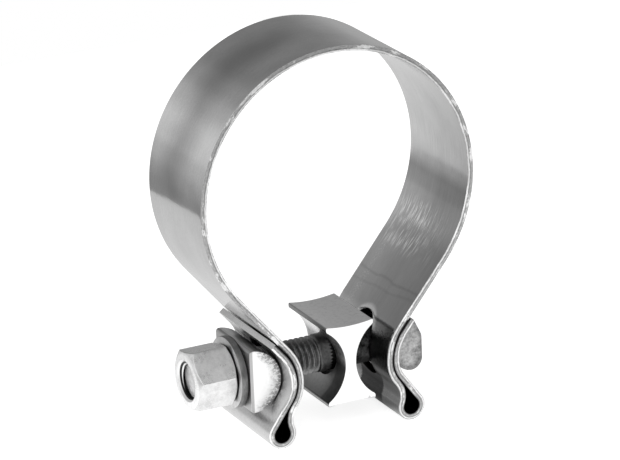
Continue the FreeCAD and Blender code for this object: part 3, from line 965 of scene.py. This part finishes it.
# dark thread, worn where it runs out, on a darker blotched shank
def darkBoltMaterial():
    material, tree, shader = newMaterial("darkBoltSteel")
    finish, at = boltFinish, placeInMm(tree)
    clouds, grain = cloudsAndGrain(at, finish)
    mottle = clouds * 0.5 + grain * 0.5
    roundBolt = calc(tree, "ARCTAN2", at.z - boltAxis[1], at.y)
    tooth = calc(tree, "PINGPONG", roundBolt * (finish["teeth"] / (2 * pi)), 0.5)
    edge = at.x + tooth * finish["toothLength"]
    blockSide = threadStart + finish["wornTurns"]
    thread = mottle.ranged(0.38, 0.62, *finish["thread"])
    thread = thread.darkened(at.x.rising(threadStart - 0.6, threadStart), finish["worn"])
    # painted shade on the chamfered end of the thread inside the nut
    thread = thread.darkened(at.x.falling(threadEnd + 0.5, threadEnd + 0.8), 0.9)
    shank = mottle.ranged(0.40, 0.62, *finish["shank"])
    tone = thread.overlaid(shank, edge.rising(blockSide - 0.3, blockSide))
    beside = edge.within(blockSide, blockSide + finish["inBlockLength"], 0.15)
    useGrey(shader, tone.darkened(beside, finish["inBlock"]))
    useMottle(shader, clouds, grain, finish)
    return material


# forged head, darker toward the rim of its end faces, with painted shade in the slot
def forgedHeadMaterial():
    material, tree, shader = newMaterial("forgedHeadSteel")
    finish, at = headFinish, placeInMm(tree)
    clouds, grain = cloudsAndGrain(at, finish)
    acrossX = at.x - (bolt["crestX"] + bolt["headDepth"] / 2)
    acrossZ = (at.z - (boltAxis[1] + bolt["headRise"])) * 0.62
    tone = mottled(clouds, grain, finish).darkened(acrossX.reach(acrossZ).rising(3.0, 4.4), finish["rim"])
    # painted shade where the head sits in the slot
    shadeInSlot = abs(at.y).falling(6, 7) * acrossX.falling(0, 0.5)
    useGrey(shader, tone.darkened(shadeInSlot, finish["shadeInSlot"]))
    useMottle(shader, clouds, grain, finish)
    return material


def headOutline():
    centre = (bolt["crestX"] + bolt["headRadius"], boltAxis[1] + bolt["headRise"])
    topAngle, bottomAngle = radians(bolt["headTopAngle"]), radians(360 - bolt["headBottomAngle"])
    seat = arcPoints(centre, bolt["headRadius"], topAngle, bottomAngle, 40)
    back = bolt["crestX"] + bolt["headDepth"]
    low, high = (back, seat[-1][1]), (back, seat[-1][1] + bolt["headFlat"])
    outline = seat[2:-1]
    outline += cornerArc(seat[-1], low, high, bolt["headRound"], 12)
    outline += cornerArc(low, high, seat[0], bolt["headRound"], 6)
    outline += cornerArc(high, seat[0], seat[2], bolt["headSeatRound"], 4)
    return outline


def makeBolt(steel, bright, forged):
    around, radius = bolt["aroundThread"], bolt["shankRadius"]
    thread = helicalGrid(threadEnd, threadStart, boltRadiusAt, around)
    shank = turnedProfile([
        (threadStart, bolt["threadRadius"]), (threadStart + radius - bolt["threadRadius"], radius),
        (bolt["crestX"] + bolt["headDepth"] / 2, radius),
    ], boltAxis, around)
    piece = meshPiece("bolt_shank", *joined(thread, shank), [steel, bright])
    tidyMesh(piece)
    for face in piece.data.polygons:
        if face.center.x < (threadEnd + 0.01) * mm:
            face.material_index = 1
    smoothByAngle(piece, 50)
    half = bolt["headLength"] / 2
    head = meshPiece("bolt_head", *prism(headOutline(), -half, half), [forged])
    roundEnds(head, half, bolt["headEndRound"], 4)
    finishNormals(head, 40)
    for part in (piece, head):
        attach(part, "clamp")
        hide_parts("bolt")


makeBolt(darkBoltMaterial(), mottledMaterial("cutBoltEnd", boltEndFinish), forgedHeadMaterial())
print("bolt made")


# half-round spacer between the left ear and the washer, cropped from half-round bar

halfRound = {
    "crestX": -15.63, "radius": 8.4, "depth": 8.57, "length": 20.0, "hole": 5.3,
    "cornerRound": 0.8, "edgeRound": 0.75,
}
halfRoundFinish = {
    "sides": 0.80, "face": 0.98, "roughLow": 0.30, "roughHigh": 0.44,
    # painted shade under the outer ply and beside the flat side, next to the washer
    "tornWidth": 3.8, "tornDark": 0.22, "shadeUnderPly": 0.8, "shadeBesideFlat": 0.5,
}


# bright cropped faces, torn and granular along the round side
def croppedBarMaterial():
    material, tree, shader = newMaterial("croppedBarSteel")
    finish, at = halfRoundFinish, placeInMm(tree)
    radius, half = halfRound["radius"], halfRound["length"] / 2
    flatX = halfRound["crestX"] - halfRound["depth"]
    grain = at.noise((1.1, 1.1, 1.1), 5, 0.7)
    torn = at.noise((0.8, 1.0, 1.7), 4, 0.7)
    fromAxisX, fromAxisZ = at.x - (halfRound["crestX"] - radius), at.z - boltAxis[1]
    onEnd = abs(at.y).rising(half - 0.6, half - 0.2)
    rim = fromAxisX.reach(fromAxisZ).rising(radius - finish["tornWidth"], radius)
    rim *= fromAxisX.ranged(0.5, 4, 0.15, 1) * onEnd
    pits = (torn - rim * 0.22).falling(0.30, 0.42) * rim
    tone = (onEnd * (finish["face"] - finish["sides"]) + finish["sides"]) * grain.varied(0.05)
    # painted shade on the round side under the outer ply
    under = fromAxisX.rising(0.5, 4.5) * fromAxisZ.rising(2, 5) * (1.0 - onEnd)
    tone = tone.darkened(under, finish["shadeUnderPly"])
    # painted shade beside the flat side, next to the washer
    tone = tone.darkened(at.x.falling(flatX + 0.75, flatX + 0.95), finish["shadeBesideFlat"])
    useGrey(shader, tone.darkened(pits, 1 - finish["tornDark"]))
    useRoughness(shader, grain, finish)
    useBump(shader, [(torn * rim, 1.0, 0.5), (grain, 0.3, 0.05)])
    return material


def makeHalfRound(steel):
    radius, half = halfRound["radius"], halfRound["length"] / 2
    centre = (halfRound["crestX"] - radius, boltAxis[1])
    flatX = halfRound["crestX"] - halfRound["depth"]
    corner = acos((flatX - centre[0]) / radius)
    arc = arcPoints(centre, radius, -corner, corner, 56)
    outline = arc[3:-3]
    outline += cornerArc(arc[-4], arc[-1], arc[0], halfRound["cornerRound"], 6)
    outline += cornerArc(arc[-1], arc[0], arc[3], halfRound["cornerRound"], 6)
    piece = meshPiece("half_round_spacer", *prism(outline, -half, half), [steel])
    roundEnds(piece, half, halfRound["edgeRound"], 5)
    boreThrough(piece, flatX - 2, halfRound["crestX"] + 2, halfRound["hole"], boltAxis)
    finishNormals(piece, 35)
    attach(piece, "half_round")
    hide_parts("half_round_spacer")


makeHalfRound(croppedBarMaterial())


# washer: dull rim, brighter faces

washer = {"faceX": -24.25, "thickness": 2.1, "radius": 9.4, "hole": 5.25, "edge": 0.25}
washerRimFinish = {
    "dark": 0.14, "light": 0.26, "shadeFrom": -24.5, "roughLow": 0.30, "roughHigh": 0.42,
    "clouds": (0.5, 0.25, 0.25), "grain": (2.4, 0.8, 0.8), "bump": 0.3, "bumpDepth": 0.04,
}
washerFaceFinish = {
    "dark": 0.42, "light": 0.62, "roughLow": 0.28, "roughHigh": 0.40,
    "clouds": (0.2, 0.2, 0.2), "grain": (1.0, 1.0, 1.0), "bump": 0.3, "bumpDepth": 0.04,
}


def makeWasher(rimSteel, faceSteel):
    near, far, edge = washer["faceX"], washer["faceX"] - washer["thickness"], washer["edge"]
    outer, hole = washer["radius"], washer["hole"]
    soft = edge * 0.3
    profile = [
        (near, hole), (near, outer - edge), (near - soft, outer - soft), (near - edge, outer),
        (far + edge, outer), (far + soft, outer - soft), (far, outer - edge), (far, hole), (near, hole),
    ]
    piece = meshPiece("washer", *turnedProfile(profile, boltAxis, 120), [rimSteel, faceSteel])
    tidyMesh(piece, closeHoles=False)
    for face in piece.data.polygons:
        if abs(face.normal.x) > 0.5:
            face.material_index = 1
    smoothByAngle(piece, 50)
    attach(piece, "washer")
    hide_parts("washer")


makeWasher(mottledMaterial("washerRimSteel", washerRimFinish),
           mottledMaterial("washerFaceSteel", washerFaceFinish))


# nut: hexagon with turned corner chamfers and a real thread

nut = {
    "faceX": -26.40, "height": 11.15, "acrossFlats": 15.05, "faceRadius": 7.0, "chamfer": 1.0,
    "mouthRadius": 5.5, "threadGap": 0.06, "firstCorner": 169.1, "around": 72, "edgeRound": 0.22,
}
nutFinish = {
    "dark": 0.61, "light": 0.83, "shadeFrom": -26.68, "endFrom": -37.4,
    "roughLow": 0.24, "roughHigh": 0.36,
    "clouds": (0.25, 0.25, 0.25), "grain": (1.1, 1.1, 1.1), "bump": 0.3, "bumpDepth": 0.05,
    # painted shade in the thread's roots: strength, (radii, soft)
    "groove": 0.97, "grooveRadii": (4.6, 4.94, 0.1),
}


# painted shade in the thread grooves, between bright crests, and a bright mouth
def nutBoreMaterial():
    material, tree, shader = newMaterial("tappedNutBore")
    at = placeInMm(tree)
    groove = at.y.reach(at.z - boltAxis[1]).within(*nutFinish["grooveRadii"])
    useGrey(shader, (1.0 - groove * nutFinish["groove"]) * nutFinish["light"])
    setInputs(shader, {"Roughness": nutFinish["roughHigh"]})
    return material


def nutBoreRadiusAt(x, angle):
    fromFace = min(nut["faceX"] - x, x - nut["faceX"] + nut["height"])
    return max(threadRadiusAt(x, angle) + nut["threadGap"], nut["mouthRadius"] - fromFace)


def makeNut(steel, tapped):
    around, start = nut["around"], radians(nut["firstCorner"])
    near, far = nut["faceX"], nut["faceX"] - nut["height"]
    apothem, faceRadius, mouthRadius = nut["acrossFlats"] / 2, nut["faceRadius"], nut["mouthRadius"]
    slope = nut["chamfer"] / (apothem / cos(radians(30)) - faceRadius)

    def ring(x, radiusOf):
        made = []
        for step in range(around):
            angle = 2 * pi * step / around
            radius, shift = radiusOf((angle % (pi / 3)) - pi / 6)
            made.append(roundPoint(x + shift, boltAxis, radius, start + angle))
        return made

    def circle(radius):
        return lambda angle: (radius, 0)

    def hexagon(inward):
        return lambda angle: (apothem / cos(angle), inward * slope * (apothem / cos(angle) - faceRadius))

    rings = [
        ring(near, circle(mouthRadius)), ring(near, circle(faceRadius)), ring(near, hexagon(-1)),
        ring(far, hexagon(1)), ring(far, circle(faceRadius)), ring(far, circle(mouthRadius)),
    ]
    points = [point for made in rings for point in made]
    shell = meshPiece("nut", points, ringFaces(len(rings), around), [steel, tapped])
    bevelEdges(shell, nut["edgeRound"], 25)
    bore = meshPiece("nutBore", *helicalGrid(far, near, nutBoreRadiusAt, around, start), [steel, tapped])
    bore.data.polygons.foreach_set("material_index", [1] * len(bore.data.polygons))
    with openMesh(shell) as mesh:
        mesh.from_mesh(bore.data)
    bpy.data.objects.remove(bore)
    tidyMesh(shell, closeHoles=False)
    finishNormals(shell, 40)
    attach(shell, "nut")
    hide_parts("nut")


makeNut(mottledMaterial("platedNutSteel", nutFinish), nutBoreMaterial())
print("half-round spacer, washer and nut made")


# spacer block between the ears, cut from drawn bar

block = {
    "offset": 3.8, "drop": 48.25, "width": 13.5, "height": 21.9, "depth": 21.8, "waist": 3.0,
    "flankRadius": 11.5, "topDip": 0.6, "footArch": 0.6, "lipRound": 0.45, "endRound": 0.12,
    "hole": 5.5, "hangGap": 0.05,
}
blockFinish = {
    "sides": 0.97, "cut": 0.98, "roughLow": 0.28, "roughHigh": 0.38, "drawnLines": 0.03, "sideGrain": 0.18,
    # painted shade on the lower flanks, more toward the front, on the foot of the sides and on the rounded
    # lips
    "shadedFlank": 0.26, "lip": 0.28, "flankFrontShade": 0.5, "sideFootShade": 0.8, "cutFoot": 0.4,
    # faint scratch and pit on the sawn front: (x, z), (reach x, reach z), strength
    "marks": [((8.72, -58.44), (0.55, 0.5), 0.8), ((3.14, -50.08), (0.25, 4.6), 0.4)],
}


# drawn sides with fine lines along the bar, and bright sawn ends
def drawnBarMaterial():
    material, tree, shader = newMaterial("drawnBarSteel")
    finish, at = blockFinish, placeInMm(tree)
    halfDepth, halfWidth, halfHeight = block["depth"] / 2, block["width"] / 2, block["height"] / 2
    grain = at.noise((0.9, 0.9, 0.9), 5, 0.7)
    lines = at.noise((2.2, 0.12, 1.6), 4, 0.65)
    fromMiddle, upright = abs(at.x - block["offset"]), at.z + block["drop"]
    sides = lines.varied(finish["drawnLines"]) * grain.varied(finish["sideGrain"]) * finish["sides"]
    # painted shade on the lower flanks, more toward the front, along the foot of the sides and on the
    # rounded lips
    onFlank = fromMiddle.within(0, halfWidth - 0.1, 0.1) * upright.falling(-1, 1)
    sides = sides.darkened(onFlank, 1 - finish["shadedFlank"] / finish["sides"])
    sides = sides.darkened(onFlank * at.y.falling(-6.5, -5.5), finish["flankFrontShade"])
    sides = sides.darkened(upright.falling(0.3 - halfHeight, 0.6 - halfHeight), finish["sideFootShade"])
    onLip = fromMiddle.rising(halfWidth - 0.32, halfWidth - 0.12)
    onLip *= abs(upright).rising(halfHeight - 1.7, halfHeight - 1.5)
    sides = sides.darkened(onLip, 1 - finish["lip"] / finish["sides"])
    foot = (upright + grain.wandering(0.1)).falling(0.4 - halfHeight, 0.7 - halfHeight)
    cut = (grain.varied(0.03) * finish["cut"]).darkened(foot, finish["cutFoot"])
    for (markX, markZ), (reachX, reachZ), strength in finish["marks"]:
        mark = at.x.near(markX, reachX) * at.z.near(markZ, reachZ)
        cut = cut.darkened(mark * grain.ranged(0.35, 0.6, 0.3, 1), strength)
    onCut = abs(at.y).rising(halfDepth - 0.12, halfDepth - 0.04)
    useGrey(shader, sides.overlaid(cut, onCut).atMost(finish["cut"]))
    useRoughness(shader, grain, finish)
    useBump(shader, [(lines, 0.25, 0.03), (grain, 0.2, 0.04)])
    return material


def blockOutline():
    halfWidth, halfHeight, flankRadius = block["width"] / 2, block["height"] / 2, block["flankRadius"]
    flankX = block["waist"] / 2 + flankRadius
    flankAngle = atan2(sqrt(flankRadius ** 2 - (flankX - halfWidth) ** 2), flankX - halfWidth)
    dip, arch = block["topDip"], block["footArch"]
    dipRadius, archRadius = ((halfWidth ** 2 + hollow ** 2) / (2 * hollow) for hollow in (dip, arch))
    dipAngle, archAngle = atan2(halfWidth, dipRadius - dip), atan2(halfWidth, archRadius - arch)
    dipCentre, archCentre = (0, halfHeight - dip + dipRadius), (0, arch - archRadius - halfHeight)
    up = pi / 2
    outline = arcPoints(dipCentre, dipRadius, dipAngle - up, -dipAngle - up, 20)
    outline += arcPoints((-flankX, 0), flankRadius, flankAngle, -flankAngle, 40)
    outline += arcPoints(archCentre, archRadius, up + archAngle, up - archAngle, 20)
    outline += arcPoints((flankX, 0), flankRadius, pi + flankAngle, pi - flankAngle, 40)
    return [(x + block["offset"], z - block["drop"]) for x, z in outline]


def makeBlock(steel):
    half, reach = block["depth"] / 2, block["width"]

    def onLip(edge):
        along = abs(edge.verts[0].co.y - edge.verts[1].co.y)
        return along > half * mm and edge.calc_face_angle() > radians(20)

    piece = meshPiece("spacer_block", *prism(blockOutline(), -half, half), [steel])
    roundEdges(piece, block["lipRound"], 5, onLip)
    bevelEdges(piece, block["endRound"], 60)
    holeZ = boltAxis[1] - block["hole"] + bolt["shankRadius"] + block["hangGap"]
    boreThrough(piece, block["offset"] - reach, block["offset"] + reach, block["hole"], (0.0, holeZ))
    finishNormals(piece, 35)
    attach(piece, "block")
    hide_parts("spacer_block")


makeBlock(drawnBarMaterial())
print("spacer block made")
